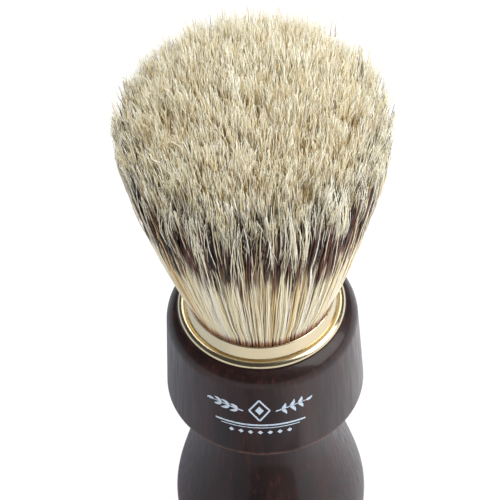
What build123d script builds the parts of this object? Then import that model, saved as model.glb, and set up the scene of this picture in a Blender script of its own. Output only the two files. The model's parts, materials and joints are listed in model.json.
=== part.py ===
from build123d import *
import os
from math import asin, cos, degrees, radians, sin, sqrt

os.makedirs("parts", exist_ok=True)

# A shaving brush standing on its base. Millimetres, +Z up along the turned axis,
# origin at the centre of the flat base, the printed front of the handle towards -Y.

# ---- handle: one turned piece of dark hardwood ----
SEAT_Z = 63.5            # flat ring on top that the ferrule's flange rests on
SEAT_RADIUS = 14.1
RIM_RADIUS = 16.0        # collar where its rounded rim starts
RIM_ROUND = 3.85
LIP_Z = 44.1             # crisp lower lip of the collar
LIP_RADIUS = 16.85
LIP_ROUND = 0.5
NECK_Z = 37.0            # narrowest place, under the collar
NECK_RADIUS = 12.3
BODY_Z = 11.0            # widest place of the lower body
BODY_RADIUS = 17.0
BASE_FLAT_RADIUS = 13.4
SOCKET_RADIUS = 12.95
SOCKET_DEPTH = 13.5

# ---- ferrule: one drawn and plated brass ring ----
SKIRT_RADIUS = 12.9
SKIRT_FOOT_Z = 52.0
BORE_RADIUS = 11.8
FLANGE_RADIUS = 14.0
FLANGE_HEIGHT = 1.15     # rounded flange, over the seat
GROOVE_WIDTH = 0.12
BAND_FOOT_RADIUS = 12.85  # the band leans in from here to its top
BAND_TOP_RADIUS = 12.25
FERRULE_TOP_Z = 67.1

# ---- inside the socket, from the bottom up ----
SOCKET_FLOOR_Z = SEAT_Z - SOCKET_DEPTH
PLUG_TOP_Z = 57.5        # cured resin that holds the butt ends of the bristles
THREAD_RADIUS = 0.3
THREAD_TURNS = 5
THREAD_TOP_Z = PLUG_TOP_Z + 2 * THREAD_RADIUS * THREAD_TURNS

# ---- bristle tuft: a flared stem and a broad dome ----
ROOT_RADIUS = 11.6
ROOT_FLARE = 21.0        # degrees that the outer bristles lean outwards at the ferrule
STEM_BOW = 20.5          # length of the Bezier handle that bows the stem outwards
SHOULDER_BOW = 2.0
QUARTER_CURVE = 0.5523   # Bezier handle share that gives a quarter ellipse
TUFT_RADIUS = 21.2
TUFT_SHOULDER_Z = 106.8
TUFT_TOP_Z = 119.8

# The tuft bends at two places, about crossed axes. Its stretches meet there on ball
# surfaces centred on the pivots, so that they stay clear of each other at every angle.
LOW_PIVOT_Z = 67.5
LOW_BALL_RADIUS = 13.6
HIGH_PIVOT_Z = 84.0
HIGH_BALL_RADIUS = 20.0
BEND_GAP = 0.3


def outline(*edges):
    """The flat face inside a closed run of (radius, height) edges."""
    return make_face(edges)


def turned(face):
    """The solid that a (radius, height) face makes about Z."""
    return revolve(Plane.XZ * face, Axis.Z)


def path(*points):
    """Straight edges through the points, in order."""
    return [Line(a, b) for a, b in zip(points, points[1:])]


def core(radius, low, high):
    """The outline of a round disc on the axis."""
    return Pos(0, low) * Rectangle(radius, high - low, align=(Align.MIN, Align.MIN))


def ball(radius, height):
    """The outline of a ball centred on the axis."""
    return Pos(0, height) * Circle(radius)


def make_handle():
    """Collar, neck and pear-shaped body in one piece, with a blind socket in its top."""
    rim_centre = RIM_RADIUS - RIM_ROUND
    rim_z = SEAT_Z - sqrt(RIM_ROUND**2 - (SEAT_RADIUS - rim_centre) ** 2)
    rim_sweep = degrees(asin((SEAT_Z - rim_z) / RIM_ROUND))
    lip_centre = LIP_RADIUS - LIP_ROUND
    base_curve = Bezier(
        (BASE_FLAT_RADIUS, 0), (BODY_RADIUS - 1, 0), (BODY_RADIUS, BODY_Z - 6), (BODY_RADIUS, BODY_Z)
    )
    waist_curve = Bezier(
        (BODY_RADIUS, BODY_Z), (BODY_RADIUS, BODY_Z + 8), (NECK_RADIUS, NECK_Z - 10), (NECK_RADIUS, NECK_Z)
    )
    cove_curve = Bezier(
        (NECK_RADIUS, NECK_Z),
        (NECK_RADIUS, NECK_Z + 4),
        (NECK_RADIUS + 0.8, LIP_Z - 1),
        (lip_centre, LIP_Z - LIP_ROUND),
    )
    lip = CenterArc((lip_centre, LIP_Z), LIP_ROUND, -90, 90)
    wall = Line((LIP_RADIUS, LIP_Z), (RIM_RADIUS, rim_z))
    rim = CenterArc((rim_centre, rim_z), RIM_ROUND, 0, rim_sweep)
    socket = path(
        (SEAT_RADIUS, SEAT_Z),
        (SOCKET_RADIUS, SEAT_Z),
        (SOCKET_RADIUS, SOCKET_FLOOR_Z),
        (0, SOCKET_FLOOR_Z),
        (0, 0),
        (BASE_FLAT_RADIUS, 0),
    )
    return turned(outline(base_curve, waist_curve, cove_curve, lip, wall, rim, *socket))


def make_ferrule():
    """Skirt down in the socket, rounded flange on the seat, and a band that rises to a rolled lip."""
    groove_z = SEAT_Z + FLANGE_HEIGHT
    lip_radius = (BAND_TOP_RADIUS - BORE_RADIUS) / 2
    lip_z = FERRULE_TOP_Z - lip_radius
    flange_foot = (FLANGE_RADIUS - 0.15, SEAT_Z)
    flange_top = (BAND_FOOT_RADIUS + GROOVE_WIDTH, groove_z)
    flange = Bezier(
        flange_foot,
        (FLANGE_RADIUS + 0.15, SEAT_Z + 0.35),
        (FLANGE_RADIUS - 0.35, groove_z + 0.1),
        flange_top,
    )
    band = path(flange_top, (BAND_FOOT_RADIUS, groove_z - GROOVE_WIDTH), (BAND_TOP_RADIUS, lip_z))
    lip = CenterArc((BORE_RADIUS + lip_radius, lip_z), lip_radius, 0, 180)
    inside = path(
        (BORE_RADIUS, lip_z),
        (BORE_RADIUS, SKIRT_FOOT_Z),
        (SKIRT_RADIUS, SKIRT_FOOT_Z),
        (SKIRT_RADIUS, SEAT_Z),
        flange_foot,
    )
    return turned(outline(flange, *band, lip, *inside))


def make_glue_bed():
    """Adhesive on the socket's floor, under the skirt and the plug."""
    return turned(core(SOCKET_RADIUS, SOCKET_FLOOR_Z, SKIRT_FOOT_Z))


def make_knot_plug():
    """Cured resin puck cast inside the skirt."""
    return turned(core(BORE_RADIUS, SKIRT_FOOT_Z, PLUG_TOP_Z))


def make_binding_thread():
    """Turns of waxed thread wound side by side round the roots, fused into one band."""
    centre = BORE_RADIUS - THREAD_RADIUS
    inner = centre - THREAD_RADIUS
    turns = [
        CenterArc((centre, PLUG_TOP_Z + (2 * turn + 1) * THREAD_RADIUS), THREAD_RADIUS, -90, 180)
        for turn in range(THREAD_TURNS)
    ]
    back = path((centre, THREAD_TOP_Z), (inner, THREAD_TOP_Z), (inner, PLUG_TOP_Z), (centre, PLUG_TOP_Z))
    return turned(outline(*turns, *back))


def tuft_outline():
    """Half of the visible tuft: a bowed flare from the ferrule to the shoulder, then a quarter ellipse."""
    lean = radians(ROOT_FLARE)
    stem = Bezier(
        (ROOT_RADIUS, FERRULE_TOP_Z),
        (ROOT_RADIUS + STEM_BOW * sin(lean), FERRULE_TOP_Z + STEM_BOW * cos(lean)),
        (TUFT_RADIUS, TUFT_SHOULDER_Z - SHOULDER_BOW),
        (TUFT_RADIUS, TUFT_SHOULDER_Z),
    )
    dome_height = TUFT_TOP_Z - TUFT_SHOULDER_Z
    dome = Bezier(
        (TUFT_RADIUS, TUFT_SHOULDER_Z),
        (TUFT_RADIUS, TUFT_SHOULDER_Z + QUARTER_CURVE * dome_height),
        (QUARTER_CURVE * TUFT_RADIUS, TUFT_TOP_Z),
        (0, TUFT_TOP_Z),
    )
    axis = path((0, TUFT_TOP_Z), (0, FERRULE_TOP_Z), (ROOT_RADIUS, FERRULE_TOP_Z))
    return outline(stem, dome, *axis)


def make_bristle_roots():
    """The bristles from the plug to the first bend, tied in by the thread."""
    tied = core(BORE_RADIUS - 2 * THREAD_RADIUS, PLUG_TOP_Z, THREAD_TOP_Z)
    held = core(ROOT_RADIUS, THREAD_TOP_Z, FERRULE_TOP_Z)
    flare = tuft_outline() & ball(LOW_BALL_RADIUS, LOW_PIVOT_Z)
    return turned(tied + held + flare)


def make_tuft_lower():
    """The bristles between the two bends."""
    below_high_bend = tuft_outline() & ball(HIGH_BALL_RADIUS, HIGH_PIVOT_Z)
    return turned(below_high_bend - ball(LOW_BALL_RADIUS + BEND_GAP, LOW_PIVOT_Z))


def make_tuft_upper():
    """The bristles from the second bend to the tips."""
    above_pivot = tuft_outline() & core(2 * TUFT_RADIUS, HIGH_PIVOT_Z, TUFT_TOP_Z + 1)
    return turned(above_pivot - ball(HIGH_BALL_RADIUS + BEND_GAP, HIGH_PIVOT_Z))


pieces = {
    "handle": make_handle(),
    "ferrule": make_ferrule(),
    "glue_bed": make_glue_bed(),
    "knot_plug": make_knot_plug(),
    "binding_thread": make_binding_thread(),
    "bristle_roots": make_bristle_roots(),
    "tuft_lower": make_tuft_lower(),
    "tuft_upper": make_tuft_upper(),
}
for name, shape in pieces.items():
    export_step(shape, f"parts/{name}.step")
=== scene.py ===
"""The looks of a shaving brush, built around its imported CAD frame.

Heights, radii and other lengths of the brush are in mm.
"""

import json
import math

import bpy
import numpy as np
from mathutils import Matrix, Vector
from mathutils.bvhtree import BVHTree


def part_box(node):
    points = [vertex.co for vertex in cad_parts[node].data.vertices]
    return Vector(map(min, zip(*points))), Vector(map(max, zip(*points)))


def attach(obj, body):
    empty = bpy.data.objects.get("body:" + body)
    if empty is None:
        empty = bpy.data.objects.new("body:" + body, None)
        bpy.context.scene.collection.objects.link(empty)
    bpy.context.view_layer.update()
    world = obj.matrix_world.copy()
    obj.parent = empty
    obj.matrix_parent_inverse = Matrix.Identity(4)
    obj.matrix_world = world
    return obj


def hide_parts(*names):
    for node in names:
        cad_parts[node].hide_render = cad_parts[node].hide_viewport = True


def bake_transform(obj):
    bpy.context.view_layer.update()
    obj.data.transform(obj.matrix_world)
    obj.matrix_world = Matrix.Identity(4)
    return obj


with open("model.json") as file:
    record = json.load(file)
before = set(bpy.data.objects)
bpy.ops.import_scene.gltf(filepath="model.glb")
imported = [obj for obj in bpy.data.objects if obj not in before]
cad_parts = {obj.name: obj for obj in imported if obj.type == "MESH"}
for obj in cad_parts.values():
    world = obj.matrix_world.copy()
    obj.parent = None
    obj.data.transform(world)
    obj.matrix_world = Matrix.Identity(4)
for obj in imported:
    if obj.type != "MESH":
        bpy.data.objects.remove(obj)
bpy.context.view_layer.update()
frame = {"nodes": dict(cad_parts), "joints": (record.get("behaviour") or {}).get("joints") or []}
MM = 0.001
rng = np.random.default_rng(20)

# ---------------------------------------------------------------- places, from the frame

ferrule_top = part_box("ferrule")[1].z / MM
tuft_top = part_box("tuft_upper")[1].z / MM
collar_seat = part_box("handle")[1].z / MM
low_pivot, high_pivot = [j["pos_m"][2] / MM for j in frame["joints"]]
BEND_LOW_END = low_pivot + 8.5      # height where the bristles and the heart are split into a lower and an upper piece


def turned_points(node):
    """Radius and height, in mm, of every vertex of a CAD node."""
    mesh = frame["nodes"][node].data
    co = np.zeros(len(mesh.vertices) * 3)
    mesh.vertices.foreach_get("co", co)
    co = co.reshape(-1, 3) / MM
    return np.stack([np.hypot(co[:, 0], co[:, 1]), co[:, 2]], 1)


def collar_edge():
    """Radius and height of the collar's lower lip, its widest ring."""
    points = turned_points("handle")
    upper = points[points[:, 1] > 0.55 * collar_seat]
    return upper[np.argmax(upper[:, 0])]


def tuft_outline():
    """Heights and outer radii of the tuft, in mm, read from the CAD solids it stands for."""
    points = [turned_points(node) for node in ("bristle_roots", "tuft_lower", "tuft_upper")]
    radius, height = np.vstack(points).T
    levels = np.arange(ferrule_top, tuft_top, 1.0)
    widest = [radius[(height > z - 0.8) & (height < z + 0.8)].max() for z in levels]
    return levels, np.array(widest)


collar_radius, collar_lip = [float(value) for value in collar_edge()]
levels, widest = tuft_outline()
tuft_radius = widest.max()
shoulder = levels[np.argmax(widest)]
STEM_TOP = shoulder - 4             # above this the outer bristles run on in a straight line
FLARE = 0.15                        # their outward slope there


def stem_radius(z):
    """Radius of the bundle at height z, as if it never ended."""
    straight = np.interp(STEM_TOP, levels, widest) + FLARE * (z - STEM_TOP)
    return np.where(z < STEM_TOP, np.interp(z, levels, widest), straight)


def dome_height(radius):
    """Height of the tuft's domed top at a distance from the axis."""
    share = np.clip(radius / tuft_radius, 0, 1)
    return shoulder + (tuft_top - shoulder) * np.sqrt(1 - share**2)


# ---------------------------------------------------------------- material helpers


def linear(r, g, b):
    """A colour given as 0 to 255 screen values, as the shader wants it."""
    def channel(c):
        c /= 255
        return c / 12.92 if c <= 0.04045 else ((c + 0.055) / 1.055) ** 2.4
    return (channel(r), channel(g), channel(b), 1)


class Nodes:
    """Short calls for building one material's node tree."""

    def __init__(self, name, **shader):
        self.material = bpy.data.materials.new(name)
        self.material.use_nodes = True
        self.tree = self.material.node_tree
        self.shader = self.tree.nodes["Principled BSDF"]
        for socket, value in shader.items():
            self.shader.inputs[socket.replace("_", " ")].default_value = value

    def new(self, kind, inputs=(), **settings):
        node = self.tree.nodes.new(kind)
        for key, value in settings.items():
            setattr(node, key, value)
        for socket, value in dict(inputs).items():
            self.set(node.inputs[socket], value)
        return node

    def set(self, socket, value):
        if isinstance(value, bpy.types.NodeSocket):
            self.tree.links.new(value, socket)
        else:
            socket.default_value = value

    def math(self, operation, a, b=0.0):
        return self.new("ShaderNodeMath", {0: a, 1: b}, operation=operation).outputs[0]

    def step(self, value, low, high):
        """0 below low, 1 above high, smooth between."""
        inputs = {"Value": value, "From Min": low, "From Max": high}
        return self.new("ShaderNodeMapRange", inputs, interpolation_type="SMOOTHSTEP").outputs[0]

    def mix(self, factor, a, b):
        node = self.new("ShaderNodeMix", data_type="RGBA")
        self.set(node.inputs["Factor"], factor)
        for socket, value in ((node.inputs[6], a), (node.inputs[7], b)):
            self.set(socket, value)
        return node.outputs[2]

    def ramp(self, factor, *stops):
        node = self.new("ShaderNodeValToRGB", {"Fac": factor})
        elements = node.color_ramp.elements
        while len(elements) < len(stops):
            elements.new(0.5)
        for element, (place, colour) in zip(elements, stops):
            element.position = place
            element.color = colour
        return node.outputs["Color"]

    def noise(self, vector, scale, detail=4.0, roughness=0.5):
        inputs = {"Vector": vector, "Scale": scale, "Detail": detail, "Roughness": roughness}
        return self.new("ShaderNodeTexNoise", inputs).outputs["Fac"]

    def place(self, scale=(1, 1, 1)):
        """Object coordinates, stretched."""
        coordinates = self.new("ShaderNodeTexCoord").outputs["Object"]
        return self.new("ShaderNodeMapping", {"Vector": coordinates, "Scale": scale}).outputs["Vector"]

    def bump(self, height, strength, distance):
        inputs = {"Height": height, "Strength": strength, "Distance": distance}
        self.set(self.shader.inputs["Normal"], self.new("ShaderNodeBump", inputs).outputs["Normal"])

    def colour(self, value):
        self.set(self.shader.inputs["Base Color"], value)

    def roughness(self, value):
        self.set(self.shader.inputs["Roughness"], value)


# ---------------------------------------------------------------- materials


LIP_WEAR_MM = (0.1, 0.6)     # the collar's lip is worn up to the first distance, and not beyond the second


def wood_material():
    """Dark lacquered hardwood: fine upright grain, red-brown streaks, open pores and a worn lip."""
    n = Nodes("dark_lacquered_wood", Coat_Weight=0.3, Coat_Roughness=0.12, Specular_IOR_Level=0.25)
    streaks = n.noise(n.place((1, 1, 0.05)), 1500, 4, 0.6)
    bands = n.noise(n.place((1, 1, 0.12)), 260, 4, 0.6)
    pores = n.noise(n.place((1, 1, 0.04)), 4200, 2, 0.6)
    ground = n.ramp(
        bands,
        (0.30, linear(22, 12, 12)),
        (0.52, linear(33, 18, 17)),
        (0.72, linear(48, 26, 23)),
    )
    red = n.math("MULTIPLY", n.step(streaks, 0.54, 0.80), 0.6)
    grained = n.mix(red, ground, linear(84, 40, 31))
    pored = n.mix(n.math("MULTIPLY", n.step(pores, 0.56, 0.72), 0.4), grained, linear(10, 7, 8))
    height = n.new("ShaderNodeSeparateXYZ", {"Vector": n.place()}).outputs["Z"]
    worn, unworn = LIP_WEAR_MM
    under = n.step(height, (collar_lip - unworn) * MM, (collar_lip - worn) * MM)
    over = n.step(height, (collar_lip + worn) * MM, (collar_lip + unworn) * MM)
    lip = n.math("MULTIPLY", under, n.math("SUBTRACT", 1.0, over))
    rubbed = n.math("MULTIPLY", lip, n.step(streaks, 0.25, 0.65))
    n.colour(n.mix(n.math("MULTIPLY", rubbed, 0.6), pored, linear(104, 70, 56)))
    n.roughness(n.step(streaks, -0.7, 2.0))
    n.bump(pores, 0.10, 0.00005)
    return n.material


def gold_material():
    """Polished champagne-gold plating with faint turning marks."""
    n = Nodes("polished_gold", Metallic=1.0)
    lines = n.noise(n.place((0.02, 0.02, 1)), 5200, 2, 0.5)
    clouds = n.noise(n.place(), 260, 3, 0.5)
    n.colour(n.mix(clouds, linear(212, 196, 160), linear(226, 213, 182)))
    n.roughness(n.step(clouds, -0.75, 3.6))
    n.bump(lines, 0.05, 0.00002)
    return n.material


def ink_material():
    """Pale blue-white printing ink, slightly worn through to the wood."""
    n = Nodes("print_ink", Roughness=0.5)
    wear = n.noise(n.place(), 2600, 4, 0.6)
    n.colour(n.mix(n.step(wear, 0.58, 0.74), linear(186, 200, 216), linear(126, 128, 138)))
    return n.material


HAIR_LOW, HAIR_HIGH = ferrule_top - 3, tuft_top + 4     # heights at the two ends of a bristle map
HAIR_KINDS = 128                                        # tones of banded bristle; as many again are plain

# each pair is the heights between which a colour fades in or out
STAIN_FADE = (67.3, 69.6)        # the resin stain of the roots ends
BAND_RISE = (86.5, 91)           # the dyed band begins
BAND_FALL = (102.5, 107.5)       # and ends
PALING = (94, 108)               # the stem's colours turn into the tip's
HEART_RISE = (88, 95)            # the dyed band begins in the heart of the bundle
HEART_FALL = (103, 108)          # and ends
RISE_SCATTER_MM = 9              # how much the band's lower edge varies from kind to kind
FALL_SCATTER_MM = 6              # and its upper edge
GOLDEN_MM, PALE_MM = 6, 0.6      # a plain bristle is golden this far below its tip, partly its own colour and partly painted warm shade for the gaps between locks, and pale this far below


def hair_v(z):
    """Where a height comes on a bristle map, from 0 at its low end to 1 at its high end."""
    return (z - HAIR_LOW) / (HAIR_HIGH - HAIR_LOW)


def bristle_material():
    """Hog bristle. Banded kinds have a stained root, straw stem, dyed band and pale tip. Plain kinds are
    golden with a pale tip; the golden is partly their own colour and partly painted warm shade for the gaps
    between the locks.
    """
    n = Nodes("hog_bristle", Specular_IOR_Level=0.4)
    uv = n.new("ShaderNodeUVMap", uv_map="OFBake").outputs["UV"]
    split = n.new("ShaderNodeSeparateXYZ", {"Vector": uv})
    column = n.math("FLOOR", n.math("MULTIPLY", split.outputs["X"], 2 * HAIR_KINDS))
    height = split.outputs["Y"]
    chance = n.new("ShaderNodeTexWhiteNoise", {"W": column}, noise_dimensions="1D")
    dice = n.new("ShaderNodeSeparateColor", {"Color": chance.outputs["Color"]})
    plain = n.math("GREATER_THAN", column, HAIR_KINDS - 0.5)
    tone = n.math("FRACT", n.math("DIVIDE", n.math("ADD", column, 0.5), HAIR_KINDS))
    tips = n.ramp(
        tone,
        (0.0, linear(250, 248, 238)),
        (0.45, linear(236, 229, 198)),
        (0.75, linear(221, 203, 156)),
        (0.90, linear(200, 168, 112)),
        (1.0, linear(160, 120, 72)),
    )
    stem = n.ramp(
        tone,
        (0.0, linear(250, 245, 230)),
        (0.35, linear(242, 230, 196)),
        (0.65, linear(230, 206, 154)),
        (0.86, linear(208, 168, 110)),
        (0.95, linear(176, 134, 88)),
        (1.0, linear(150, 118, 92)),
    )
    # painted shade: this golden is partly the bristle's own colour and partly warm shade of the gaps between
    # locks, painted in
    golden_and_gap_shade = n.ramp(
        tone,
        (0.0, linear(238, 216, 156)),
        (0.5, linear(220, 188, 118)),
        (1.0, linear(184, 138, 72)),
    )
    # banded kinds, by height
    along = n.mix(n.step(height, *map(hair_v, PALING)), stem, tips)
    reach = 1 / (HAIR_HIGH - HAIR_LOW)
    low_shift = n.math("MULTIPLY", n.math("SUBTRACT", dice.outputs["Red"], 0.5), RISE_SCATTER_MM * reach)
    high_shift = n.math("MULTIPLY", n.math("SUBTRACT", dice.outputs["Blue"], 0.5), FALL_SCATTER_MM * reach)
    rise = n.step(n.math("ADD", height, low_shift), *map(hair_v, BAND_RISE))
    fall = n.step(n.math("ADD", height, high_shift), *map(hair_v, BAND_FALL))
    band = n.math("MULTIPLY", rise, n.math("SUBTRACT", 1.0, fall))
    dyed = n.step(dice.outputs["Green"], 0.17, 0.25)
    dye = n.mix(n.step(dice.outputs["Blue"], 0.3, 0.9), linear(42, 26, 26), linear(120, 80, 66))
    banded = n.mix(n.math("MULTIPLY", band, dyed), along, dye)
    stain_height = n.math("ADD", height, n.math("MULTIPLY", low_shift, 0.1))
    stain = n.math("SUBTRACT", 1.0, n.step(stain_height, *map(hair_v, STAIN_FADE)))
    rooted = n.mix(n.math("MULTIPLY", stain, 0.9), banded, linear(138, 74, 36))
    # plain kinds, by distance below the tip; their golden lower part is partly painted warm shade for the
    # gaps between locks
    paling = n.step(height, hair_v(tuft_top - GOLDEN_MM), hair_v(tuft_top - PALE_MM))
    plain_along = n.mix(paling, golden_and_gap_shade, tips)
    n.colour(n.mix(plain, rooted, plain_along))
    n.roughness(n.math("ADD", 0.40, n.math("MULTIPLY", dice.outputs["Blue"], 0.2)))
    return n.material


def core_material():
    """The shadowed heart of the bundle, seen only between bristles."""
    n = Nodes("bundle_heart", Roughness=0.8)
    strands = n.noise(n.place((1, 1, 0.04)), 900, 3, 0.6)
    height = n.new("ShaderNodeSeparateXYZ", {"Vector": n.place()}).outputs["Z"]
    stem = n.mix(strands, linear(196, 160, 108), linear(228, 204, 154))
    dyed = n.mix(strands, linear(38, 26, 24), linear(84, 60, 50))
    crown = n.mix(strands, linear(178, 142, 88), linear(212, 180, 122))
    banded = n.mix(n.step(height, *[z * MM for z in HEART_RISE]), stem, dyed)
    n.colour(n.mix(n.step(height, *[z * MM for z in HEART_FALL]), banded, crown))
    n.bump(strands, 0.5, 0.0004)
    return n.material


def plain_material(name, low, high, scale, roughness):
    """A mottled matt material for the hidden inner pieces."""
    n = Nodes(name, Roughness=roughness)
    n.colour(n.mix(n.noise(n.place(), scale), low, high))
    return n.material


def paint(node, material):
    """Gives a carried-over CAD node its finished material."""
    mesh = frame["nodes"][node].data
    mesh.materials.clear()
    mesh.materials.append(material)


paint("handle", wood_material())
paint("ferrule", gold_material())
paint("glue_bed", plain_material("cured_glue", linear(206, 190, 150), linear(226, 214, 180), 700, 0.4))
paint("knot_plug", plain_material("amber_resin", linear(128, 70, 26), linear(168, 104, 44), 300, 0.15))
waxed = plain_material("waxed_thread", linear(150, 124, 84), linear(190, 166, 122), 2500, 0.75)
paint("binding_thread", waxed)

# ---------------------------------------------------------------- bristles


def mesh_piece(name, vertices, loops, starts, smooth, material):
    """A mesh object from flat arrays. vertices are in mm, smooth says which faces are shaded smooth."""
    mesh = bpy.data.meshes.new(name)
    mesh.vertices.add(len(vertices))
    mesh.vertices.foreach_set("co", (vertices * MM).ravel())
    mesh.loops.add(len(loops))
    mesh.loops.foreach_set("vertex_index", loops.astype(np.int32))
    mesh.polygons.add(len(starts))
    mesh.polygons.foreach_set("loop_start", starts.astype(np.int32))
    mesh.polygons.foreach_set("use_smooth", smooth)
    mesh.update(calc_edges=True)
    mesh.materials.append(material)
    piece = bpy.data.objects.new(name, mesh)
    bpy.context.scene.collection.objects.link(piece)
    return piece


def unit(vectors):
    return vectors / np.linalg.norm(vectors, axis=-1, keepdims=True)


def tubes(name, path, z, radii, turn, column, v):
    """One mesh of closed three-sided tubes along path(z). z, radii and the map heights v are
    (tubes, rings); turn and column, the bristle's kind, have one value for each tube.
    """
    count, rings = z.shape
    points = path(z)
    along = unit(path(z + 0.05) - path(z - 0.05))
    level = np.stack([np.cos(turn), np.sin(turn), 0 * turn], 1)[:, None]
    side = unit(np.cross(along, np.broadcast_to(level, along.shape)))
    other = np.cross(along, side)
    corners = []
    for corner in range(3):
        angle = 2 * math.pi * corner / 3
        corners.append(points + radii[:, :, None] * (math.cos(angle) * side + math.sin(angle) * other))
    vertices = np.stack(corners, 2).reshape(-1, 3)
    index = np.arange(count * rings * 3).reshape(count, rings, 3)
    low, high = index[:, :-1], index[:, 1:]
    quads = np.stack([low, np.roll(low, -1, 2), np.roll(high, -1, 2), high], 3).reshape(-1, 4)
    caps = np.concatenate([index[:, 0, ::-1], index[:, -1]])
    loops = np.concatenate([quads.ravel(), caps.ravel()])
    starts = np.concatenate([np.arange(len(quads)) * 4, len(quads) * 4 + np.arange(len(caps)) * 3])
    piece = mesh_piece(name, vertices, loops, starts, np.arange(len(starts)) < len(quads), hair)
    uv = np.stack([np.broadcast_to((column[:, None] + 0.5) / (2 * HAIR_KINDS), v.shape), v], 2)
    uv = np.repeat(uv.reshape(-1, 2), 3, axis=0)
    piece.data.uv_layers.new(name="OFBake").data.foreach_set("uv", uv[loops].ravel())
    return piece


def bend_low(piece):
    """Bakes a piece's placement into its mesh; the piece is not bent or tied to the lower joint."""
    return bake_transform(piece)


def bend_high(piece):
    """Bakes a piece's placement into its mesh; the piece is not bent or tied to the upper joint."""
    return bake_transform(piece)


def nearest(points, centres):
    """For each point, the number of the nearest centre."""
    best = [np.argmin(((chunk[:, None] - centres) ** 2).sum(2), 1) for chunk in np.array_split(points, 40)]
    return np.concatenate(best)


def unit_disc(count):
    """Points spread evenly at random over a disc of radius 1."""
    radius, angle = np.sqrt(rng.random(count)), rng.uniform(0, 2 * math.pi, count)
    return np.stack([radius * np.cos(angle), radius * np.sin(angle)], 1)


def ripple(points, cells):
    """Smooth noise of about unit size over the unit disc."""
    total = np.zeros(len(points))
    for _ in range(6):
        direction = rng.uniform(0, 2 * math.pi)
        wave = points @ np.array([math.cos(direction), math.sin(direction)])
        total += np.sin(cells * math.pi * wave * rng.uniform(0.7, 1.3) + rng.uniform(0, 2 * math.pi))
    return total / 2.4


BRISTLES = 15000
CLUMPS = 900             # locks of bristles that lean together at their tips
STRANDS = 4200           # small groups of alike bristles that stick together over their whole length
STRAND_PULL = 0.45       # how far each moves towards its group's middle, high up on the stem
FULL_LENGTH = 0.86       # bristles outside this share of the radius run up from inside the ferrule
ROOT_DEPTH_MM = 1.2      # how far under the ferrule's rim they begin
FREE_MM = 20             # length of the ones inside that share, which are made only near their tips
CLUMP_MM = 17            # how far below the tips the clumping begins
CURL_MM = 7              # length of the curved end of a bristle
LEAN_FROM_MM = 26        # how far above the ferrule the locks begin to lean
OUTLINE = 0.985          # bristles are held back beyond this share of the bundle's radius
STRAY = 0.3              # how much of its swing outwards a bristle keeps beyond the bundle's outline

hair = bristle_material()
seats = unit_disc(BRISTLES)
spread = np.linalg.norm(seats, axis=1)
clump_seats = unit_disc(CLUMPS)
clump = nearest(seats, clump_seats)
strand_seats = unit_disc(STRANDS)
strand = nearest(seats, strand_seats)
clump_pull = rng.uniform(0.3, 0.9, CLUMPS)[clump]
clump_lean = rng.normal(0, 0.05, (CLUMPS, 2))[clump]
clump_length = (rng.normal(0, 0.25, CLUMPS) - np.abs(rng.normal(0, 1.1, CLUMPS)))[clump]
tip_z = np.full(BRISTLES, tuft_top)
for _ in range(8):      # settles at the height where each bristle meets the dome
    tip_z = dome_height(spread * stem_radius(tip_z))
tip_z += clump_length * (1 - 0.6 * spread**4) - 0.1 - np.abs(rng.normal(0, 1.9, BRISTLES))
lean = clump_lean + rng.normal(0, 0.03, (BRISTLES, 2))
wander = rng.normal(0, 0.018, (STRANDS, 2))[strand] + rng.normal(0, 0.016, (BRISTLES, 2))
wave_size = rng.uniform(0.05, 0.25, (BRISTLES, 2))
wave_phase = rng.uniform(0, 2 * math.pi, (BRISTLES, 2))
wave_pitch = rng.uniform(9, 22, (BRISTLES, 2))
curl = rng.normal(0, 0.35, (BRISTLES, 2)) * rng.choice([1, 3], (BRISTLES, 1), p=[0.85, 0.15])
curl *= np.where(spread > 0.8, 0.4, 1.0)[:, None]
turn = rng.uniform(0, 2 * math.pi, BRISTLES)
girth = rng.uniform(0.75, 1.3, BRISTLES)
tone = np.clip(rng.beta(1.1, 2.0, STRANDS)[strand] + rng.normal(0, 0.012, BRISTLES), 0, 0.999)
plain = rng.random(BRISTLES) > (spread - 0.72) / 0.12
column = np.floor(tone * HAIR_KINDS)
band_shift = 0.9 * ripple(clump_seats, 2.5)[clump]
lock_shift = rng.normal(-0.5, 2.0, CLUMPS)[clump] + rng.normal(0, 3.0, STRANDS)[strand]


def centreline(which, z):
    """Points of the chosen bristles at heights z, (strands, rings), in mm."""
    seat, top = seats[which][:, None], tip_z[which][:, None]
    free = np.clip((z - ferrule_top) / (top - ferrule_top), 0, 1)[:, :, None]
    near_tip = np.clip(1 - (top - z) / CLUMP_MM, 0, None)[:, :, None]
    near_end = np.clip(1 - (top - z) / CURL_MM, 0, None)[:, :, None]
    gather = (clump_seats[clump[which]] - seats[which])[:, None] * clump_pull[which][:, None, None]
    bunch = STRAND_PULL * (strand_seats[strand[which]] - seats[which])[:, None]
    bunch = bunch * np.clip(2.2 * free - 0.6, 0, 1)
    share = seat + gather * near_tip**1.5 + bunch * (1 - near_tip) + wander[which][:, None] * free
    flat = share * stem_radius(z)[:, :, None]
    height = (z - ferrule_top)[:, :, None]
    flat += lean[which][:, None] * np.clip(height - LEAN_FROM_MM, 0, None)
    sway = np.sin(height * 2 * math.pi / wave_pitch[which][:, None] + wave_phase[which][:, None])
    flat += wave_size[which][:, None] * sway * free
    flat += curl[which][:, None] * near_end**2
    reach = np.linalg.norm(flat, axis=2)
    limit = OUTLINE * stem_radius(z)
    held = np.where(reach > limit, limit + STRAY * (reach - limit), reach)
    return np.concatenate([flat * (held / reach)[:, :, None], z[:, :, None]], 2)


ROOT_MM, BODY_MM, TIP_MM = 0.12, 0.095, 0.034    # bristle radius at the root, along the body and at the tip
THIN_OUT_MM = 20         # height above the ferrule where the root's radius has become the body's
TAPER_MM = 10            # length of the tapered end


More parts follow.
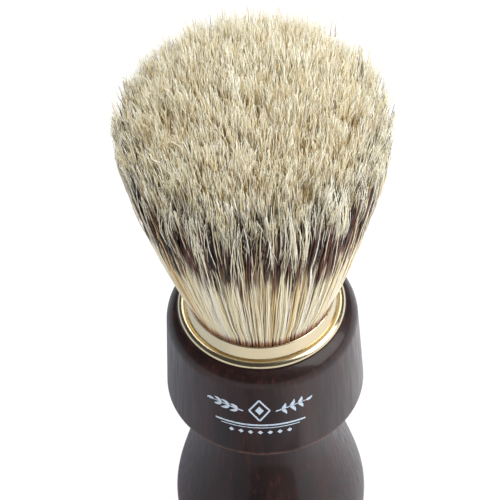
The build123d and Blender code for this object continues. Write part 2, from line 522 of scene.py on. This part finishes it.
def thickness(which, z):
    """Radii of the chosen bristles at heights z."""
    top = tip_z[which][:, None]
    body = ROOT_MM + (BODY_MM - ROOT_MM) * np.clip((z - ferrule_top) / THIN_OUT_MM, 0, 1)
    return girth[which][:, None] * (body + (TIP_MM - body) * np.clip(1 - (top - z) / TAPER_MM, 0, 1) ** 1.2)


BAND_SHIFT_Z = 78        # above this the band's edge moves up and down round the bundle
LOCK_SHIFT_Z = 92        # above this it also differs from lock to lock and strand to strand
SHIFT_EASE_MM = 10       # height over which each of the two comes in
MAP_RANGE = (0.002, 0.998)


def banded_map(which, z):
    """Map heights for banded kinds, which are coloured by their height."""
    shift = band_shift[which][:, None] * np.clip((z - BAND_SHIFT_Z) / SHIFT_EASE_MM, 0, 1)
    shift += lock_shift[which][:, None] * np.clip((z - LOCK_SHIFT_Z) / SHIFT_EASE_MM, 0, 1)
    return np.clip(hair_v(z - shift), *MAP_RANGE)


def plain_map(which, z):
    """Map heights for plain kinds, which are coloured by how far they are below the tip."""
    return np.clip(hair_v(tuft_top + z - tip_z[which][:, None]), *MAP_RANGE)


POINT_MM = 0.008         # radius of a pointed end
JOINT_MM = 1.5           # how far a stretch runs on, pointed, inside the next stretch of the same bristle
STEM_RINGS, FLANK_RINGS, CROWN_RINGS = 6, 12, 9


def levels_between(low, high, rings):
    """Evenly spaced heights from each low to each high, (tubes, rings)."""
    return low[:, None] + (high - low)[:, None] * np.linspace(0, 1, rings)


def bristles(name, which, z, is_plain, pinched=()):
    """A piece of bristles. which are their numbers, z the heights of their rings, is_plain tells the
    plain kinds from the banded, and pinched lists the rings drawn to a point.
    """
    kind = column[which] + HAIR_KINDS * is_plain
    v = np.where(is_plain[:, None], plain_map(which, z), banded_map(which, z))
    radii = thickness(which, z)
    radii[:, pinched] = POINT_MM
    return tubes(name, lambda z: centreline(which, z), z, radii, turn[which], kind, v)


everyone = np.arange(BRISTLES)
outer = everyone[spread > FULL_LENGTH]
inner = everyone[spread <= FULL_LENGTH]
never = np.zeros(BRISTLES, bool)
root_z = np.full(len(outer), ferrule_top - ROOT_DEPTH_MM)
split_z = np.full(len(outer), BEND_LOW_END)
heights = np.column_stack([levels_between(root_z, split_z, STEM_RINGS), split_z + JOINT_MM])
stem = bend_low(bristles("bristles_stem", outer, heights, never[outer], [-1]))
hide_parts("bristle_roots")
for number, part in enumerate(np.array_split(outer, 2)):
    foot = split_z[:len(part)]
    heights = np.column_stack([foot - JOINT_MM, levels_between(foot, tip_z[part], FLANK_RINGS)])
    flank = bend_high(bristles(f"bristles_flank_{number + 1}", part, heights, never[part], [0]))
    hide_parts("tuft_lower")
for number, part in enumerate(np.array_split(inner, 4)):
    heights = levels_between(tip_z[part] - FREE_MM, tip_z[part], CROWN_RINGS)
    crown = bend_high(bristles(f"bristles_crown_{number + 1}", part, heights, plain[part]))
    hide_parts("tuft_upper")

# ---------------------------------------------------------------- split ends

FLAGS = 9000             # fine split ends beside the tips
FLAG_FOOT_MM, FLAG_TIP_MM = 0.05, 0.014
FLAG_RINGS = 5
parent = rng.choice(BRISTLES, FLAGS)
flag_length = rng.uniform(2.0, 4.5, FLAGS)
flag_spread = rng.normal(0, 0.45, (FLAGS, 2))
flag_top = tip_z[parent] + rng.normal(-0.3, 0.5, FLAGS)
flag_foot = flag_top - flag_length
flag_tone = np.floor(rng.beta(1.0, 3.0, FLAGS) * HAIR_KINDS) + HAIR_KINDS


def flag_line(which, z):
    """Points of the chosen split ends, which leave their parent bristles at the foot."""
    share = np.clip((z - flag_foot[which][:, None]) / flag_length[which][:, None], 0, None)[:, :, None]
    line = centreline(parent[which], z)
    line[:, :, :2] += flag_spread[which][:, None] * share**1.6
    return line


for number, part in enumerate(np.array_split(np.arange(FLAGS), 2)):
    name = f"split_ends_{number + 1}"
    heights = levels_between(flag_foot[part], flag_top[part], FLAG_RINGS)
    radii = np.broadcast_to(np.linspace(FLAG_FOOT_MM, FLAG_TIP_MM, FLAG_RINGS), heights.shape)
    looks = (turn[parent[part]], flag_tone[part], plain_map(parent[part], heights))
    bend_high(tubes(name, lambda z: flag_line(part, z), heights, radii, *looks))

# ---------------------------------------------------------------- pale loose bristles over the dyed band

WISPS = 70               # groups that the loose bristles stand in
LOOSE = 450
LOOSE_FOOT_Z = (85, 97)      # heights of the groups' feet
LOOSE_TOP_Z = (105, 111)     # heights of the bristles' tips
LOOSE_RINGS = 9
LOOSE_FOOT_MM, LOOSE_BODY_MM, LOOSE_TIP_MM = 0.012, 0.06, 0.02
wisp = rng.integers(0, WISPS, LOOSE)
loose_angle = rng.uniform(0, 2 * math.pi, WISPS)[wisp] + rng.normal(0, 0.022, LOOSE)
loose_foot = rng.uniform(*LOOSE_FOOT_Z, WISPS)[wisp] + rng.uniform(0, 5, LOOSE)
loose_top = rng.uniform(*LOOSE_TOP_Z, LOOSE)
loose_depth = rng.uniform(0.0, 0.6, LOOSE)
loose_slant = rng.normal(0, 0.04, LOOSE)
loose_hook = rng.normal(0, 0.6, LOOSE)
loose_tone = np.floor(rng.beta(0.8, 4.0, LOOSE) * HAIR_KINDS) + HAIR_KINDS


def loose_line(z):
    """Out of the bundle at the foot, along its outside, and in again towards the dome at the tip."""
    share = (z - loose_foot[:, None]) / (loose_top - loose_foot)[:, None]
    out = 0.5 * np.sin(math.pi * np.clip(share, 0, 1)) - loose_depth[:, None]
    out = out - 2.2 * np.clip(share - 0.55, 0, None)
    angle = loose_angle[:, None] + loose_slant[:, None] * (share - 0.5)
    angle = angle + loose_hook[:, None] / tuft_radius * np.clip(0.35 - share, 0, None) ** 2 * 6
    radius = stem_radius(np.clip(z, None, shoulder)) + out
    return np.stack([radius * np.cos(angle), radius * np.sin(angle), z], 2)


heights = levels_between(loose_foot, loose_top, LOOSE_RINGS)
stages = np.linspace(0, 1, LOOSE_RINGS)
profile = np.interp(stages, (0, 0.35, 0.7, 1), (LOOSE_FOOT_MM, LOOSE_BODY_MM, LOOSE_BODY_MM, LOOSE_TIP_MM))
radii = np.broadcast_to(profile, heights.shape)
pale_map = np.broadcast_to(hair_v(tuft_top - 3 + 2.5 * stages), heights.shape)
spin = rng.uniform(0, 2 * math.pi, LOOSE)
bend_high(tubes("loose_bristles", loose_line, heights, radii, spin, loose_tone, pale_map))

# ---------------------------------------------------------------- heart of the bundle


def lathe(name, profile, material, sides=96):
    """A closed turned mesh. profile is (radius, height) pairs in mm that start and end on the axis."""
    rings = [
        [(r * math.cos(a), r * math.sin(a), z) for a in np.arange(sides) * 2 * math.pi / sides]
        for r, z in profile[1:-1]
    ]
    vertices = [p for ring in rings for p in ring]
    bottom, top = len(vertices), len(vertices) + 1
    vertices += [(0, 0, profile[0][1]), (0, 0, profile[-1][1])]
    faces = []
    for i in range(sides):
        j = (i + 1) % sides
        faces.append((bottom, j, i))
        faces.append((top, (len(rings) - 1) * sides + i, (len(rings) - 1) * sides + j))
        for k in range(len(rings) - 1):
            low, high = k * sides, (k + 1) * sides
            faces.append((low + i, low + j, high + j, high + i))
    mesh = bpy.data.meshes.new(name)
    mesh.from_pydata([Vector(p) * MM for p in vertices], [], faces)
    mesh.polygons.foreach_set("use_smooth", [len(face) == 4 for face in faces])
    mesh.materials.append(material)
    piece = bpy.data.objects.new(name, mesh)
    bpy.context.scene.collection.objects.link(piece)
    return piece


HEART = 0.94             # share of the bundle's radius
HEART_DEPTH = 8          # how far under the dome it ends, in mm
heart = core_material()
low_heights = np.linspace(ferrule_top - ROOT_DEPTH_MM, BEND_LOW_END, 8)
low_profile = (
    [(0, low_heights[0])]
    + [(HEART * float(stem_radius(z)), z) for z in low_heights]
    + [(0, BEND_LOW_END)]
)
bend_low(lathe("bundle_heart_low", low_profile, heart))
high_heights = np.linspace(BEND_LOW_END, shoulder - HEART_DEPTH, 14)
dome_radii = HEART * tuft_radius * np.cos(np.linspace(0.15, math.pi / 2, 10))[:-1]
high_profile = (
    [(0, BEND_LOW_END)]
    + [(HEART * float(stem_radius(z)), z) for z in high_heights]
    + [(r, float(dome_height(r / HEART)) - HEART_DEPTH) for r in dome_radii]
    + [(0, tuft_top - HEART_DEPTH)]
)
bend_high(lathe("bundle_heart_high", high_profile, heart))

# ---------------------------------------------------------------- printed ornament


def handle_surface():
    """A search tree of the handle's skin."""
    mesh = frame["nodes"]["handle"].data
    return BVHTree.FromPolygons([v.co for v in mesh.vertices], [p.vertices for p in mesh.polygons])


INK_MM = 0.03                       # how far the ink stands out of the lacquer, and how far it sinks in
ORNAMENT_Z = collar_lip + 11.4      # height of the ornament's middle on the collar
ORNAMENT_ACROSS = -1.4              # its middle, as arc length from the front
ORNAMENT_SIZE = 1.04                # scale of the lengths below
skin = handle_surface()


def on_collar(across, up, lift):
    """The point of the collar that is across and up from the ornament's middle, lifted off the skin."""
    angle = (ORNAMENT_SIZE * across + ORNAMENT_ACROSS) / collar_radius
    away = Vector((math.sin(angle), -math.cos(angle), 0))
    z = ORNAMENT_Z + ORNAMENT_SIZE * up
    start = (away * 2 * collar_radius + Vector((0, 0, z))) * MM
    hit = skin.ray_cast(start, -away)[0]
    return hit / MM + away * lift


def stroke(points, widths):
    """A closed thin strip along the points, (across, up) in mm, as wide at each as widths says."""
    centre = np.array(points, float)
    along = unit(np.gradient(centre, axis=0))
    half = np.stack([-along[:, 1], along[:, 0]], 1) * (np.array(widths)[:, None] / 2)
    rings = []
    for left, right in zip(centre + half, centre - half):
        rings.append([on_collar(*left, -INK_MM), on_collar(*right, -INK_MM)])
        rings[-1] += [on_collar(*right, INK_MM), on_collar(*left, INK_MM)]
    return rings


def leaf(foot, angle, length, width):
    """A pointed leaf that grows from its foot in the direction of the angle, in radians."""
    share = np.linspace(0, 1, 9)
    bend = angle + 0.5 * (share - 0.5) * math.copysign(1, math.sin(angle))
    points = np.stack([foot[0] + share * length * np.cos(bend), foot[1] + share * length * np.sin(bend)], 1)
    return stroke(points, 0.06 + width * np.sin(math.pi * share**0.8) ** 0.9)


def straight(start, end, width):
    """A straight strip of even width."""
    share = np.linspace(0, 1, 2 + int(math.dist(start, end) / 0.8))[:, None]
    points = np.array(start) + share * (np.array(end) - np.array(start))
    return stroke(points, np.full(len(points), width))


def lozenge(middle, across, up):
    """A solid diamond."""
    share = np.linspace(-1, 1, 9)
    points = np.stack([middle[0] + share * across, np.full(9, middle[1])], 1)
    return stroke(points, 0.05 + 2 * up * (1 - np.abs(share)))


def sprig(side):
    """A stalk with pairs of leaves, to the left (-1) or right (1) of the middle."""
    share = np.linspace(0, 1, 12)
    stalk = np.stack([side * (2.7 + 5.2 * share), 0.9 * np.sin(share * 1.6) - 0.3], 1)
    strips = [stroke(stalk, 0.24 - 0.12 * share)]
    for place, length in ((2, 1.5), (5, 1.7), (8, 1.5)):
        for tilt in (0.85, -0.75):
            heading = tilt if side > 0 else math.pi - tilt
            strips.append(leaf(stalk[place], heading, length, 0.55))
    strips.append(leaf(stalk[-1], 0.15 if side > 0 else math.pi - 0.15, 1.3, 0.5))
    return strips


def ornament():
    """Two leafy sprigs beside a diamond, over a double rule and a row of small diamonds."""
    corners = [(-1.7, 0), (0, 2.5), (1.7, 0), (0, -2.5)]
    strips = sprig(-1) + sprig(1) + [lozenge((0, 0), 0.7, 1.0)]
    for start, end in zip(corners, corners[1:] + corners[:1]):
        strips.append(straight(start, end, 0.3))
    for up, half, width in ((-3.6, 7.6, 0.34), (-4.25, 6.6, 0.16)):
        strips.append(straight((-half, up), (half, up), width))
    for number in range(-3, 4):
        strips.append(lozenge((number * 1.6, -5.4), 0.42, 0.42))
    return strips


def ornament_piece():
    """The whole ornament as one mesh of closed strips."""
    vertices, loops, sides = [], [], []
    for rings in ornament():
        first = len(vertices)
        vertices += [corner for ring in rings for corner in ring]
        for ring in range(len(rings) - 1):
            a = first + 4 * ring
            for i in range(4):
                j = (i + 1) % 4
                loops += [a + i, a + j, a + 4 + j, a + 4 + i]
                sides.append(4)
        last = len(vertices) - 4
        loops += [first + 3, first + 2, first + 1, first, last, last + 1, last + 2, last + 3]
        sides += [4, 4]
    starts = np.cumsum([0] + sides[:-1])
    smooth = np.zeros(len(sides), bool)
    vertices, loops = np.array(vertices), np.array(loops)
    piece = mesh_piece("printed_ornament", vertices, loops, starts, smooth, ink_material())
    return piece


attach(ornament_piece(), "handle")

# ---------------------------------------------------------------- studio


def aim(obj, position, target, roll_degrees=0.0):
    """Puts an object at a position with its -Z towards a target, turned about that line."""
    back = (Vector(position) - Vector(target)).normalized()
    right = Vector((0, 0, 1)).cross(back).normalized()
    up = back.cross(right)
    c, s = math.cos(math.radians(roll_degrees)), math.sin(math.radians(roll_degrees))
    x, y = right * c + up * s, up * c - right * s
    obj.matrix_world = Matrix.Translation(position) @ Matrix((x, y, back)).transposed().to_4x4()


def softbox(name, position, target, size, power, in_reflections=True):
    """A rectangular area light, in metres and watts."""
    light = bpy.data.lights.new(name, "AREA")
    light.shape = "RECTANGLE"
    light.size, light.size_y = size
    light.energy = power
    lamp = bpy.data.objects.new(name, light)
    bpy.context.scene.collection.objects.link(lamp)
    lamp.visible_glossy = in_reflections
    aim(lamp, position, target)


def stage_material(name, colour, glow=0.0):
    """A matt colour that also shines white, as strongly as glow says."""
    n = Nodes(name, Roughness=0.9, Emission_Color=(1, 1, 1, 1), Emission_Strength=glow)
    n.colour(colour)
    return n.material


def mirrored_floor_material():
    """Light to be reflected: grey on the left, dark left of the middle, bright on the right, and an even
    grey nearer to the camera.
    """
    n = Nodes("mirrored_floor", Roughness=1.0, Emission_Strength=1.8)
    n.colour((0, 0, 0, 1))
    apart = n.new("ShaderNodeSeparateXYZ", {"Vector": n.place()}).outputs
    across = n.ramp(
        n.step(apart["X"], -0.09, 0.09),
        (0.0, (0.40, 0.42, 0.46, 1)),
        (0.30, (0.17, 0.17, 0.20, 1)),
        (0.55, (0.26, 0.26, 0.28, 1)),
        (0.80, (0.70, 0.70, 0.73, 1)),
    )
    in_front = n.step(apart["Y"], -0.10, -0.15)
    n.set(n.shader.inputs["Emission Color"], n.mix(in_front, across, (0.55, 0.55, 0.55, 1)))
    return n.material


def stage_plane(name, half, material):
    """A level square that reaches from the origin to half, in metres, each way."""
    mesh = bpy.data.meshes.new(name)
    corners = [(-half, -half, 0), (half, -half, 0), (half, half, 0), (-half, half, 0)]
    mesh.from_pydata(corners, [], [(0, 1, 2, 3)])
    mesh.materials.append(material)
    plane = bpy.data.objects.new(name, mesh)
    bpy.context.scene.collection.objects.link(plane)
    return plane


CAMERA_ELEVATION = 49.75
CAMERA_ROLL = -3.1
CAMERA_DISTANCE = 0.400
LENS = 178.2
LOOK_AT = Vector((-1.46, 0, collar_seat + 13.8)) * MM

scene = bpy.context.scene
elevation = math.radians(CAMERA_ELEVATION)
camera = bpy.data.objects.new("camera", bpy.data.cameras.new("camera"))
scene.collection.objects.link(camera)
camera.data.lens = LENS
camera.data.clip_start = 0.01
toward_camera = Vector((0, -math.cos(elevation), math.sin(elevation)))
aim(camera, LOOK_AT + CAMERA_DISTANCE * toward_camera, LOOK_AT, CAMERA_ROLL)
scene.camera = camera

STAGE_HALF = 3.0
floor = stage_plane("floor", STAGE_HALF, stage_material("floor", (0.10, 0.10, 0.10, 1), glow=0.92))
floor.visible_glossy = False
middle = (0, 0, 0.08)
softbox("left_softbox", (-0.60, -0.10, 0.35), middle, (0.6, 0.8), 1.0, in_reflections=False)
softbox("right_softbox", (0.58, -0.15, 0.50), middle, (0.6, 0.8), 5.8)
softbox("top_softbox", (0.0, 0.30, 0.72), middle, (1.0, 0.5), 3.4)
softbox("front_fill", (0.10, -0.40, 0.62), middle, (0.7, 0.5), 3.7, in_reflections=False)

# a second floor and a dark upright card in front of the brush, which only reflections see
mirrored = stage_plane("mirrored_floor", STAGE_HALF, mirrored_floor_material())
mirrored.location.z = -0.0005
card = stage_plane("black_card", 0.023, stage_material("black_card", (0.01, 0.01, 0.01, 1)))
card.matrix_world = Matrix.Translation((0.002, -0.045, -0.011)) @ Matrix.Rotation(math.pi / 2, 4, "X")
for ray in ("camera", "diffuse", "shadow", "transmission"):
    setattr(card, f"visible_{ray}", False)
    setattr(mirrored, f"visible_{ray}", False)

WORLD_TO_OTHER_RAYS, WORLD_TO_CAMERA = 0.08, 1.05       # dim as light and in reflections, white to the camera
scene.world = bpy.data.worlds.new("studio")
scene.world.use_nodes = True
tree = scene.world.node_tree
backdrop = tree.nodes["Background"]
backdrop.inputs["Color"].default_value = (0.95, 0.97, 1.0, 1)
seen = tree.nodes.new("ShaderNodeMapRange")
tree.links.new(tree.nodes.new("ShaderNodeLightPath").outputs["Is Camera Ray"], seen.inputs["Value"])
seen.inputs["To Min"].default_value = WORLD_TO_OTHER_RAYS
seen.inputs["To Max"].default_value = WORLD_TO_CAMERA
tree.links.new(seen.outputs["Result"], backdrop.inputs["Strength"])
scene.view_settings.view_transform = "Standard"
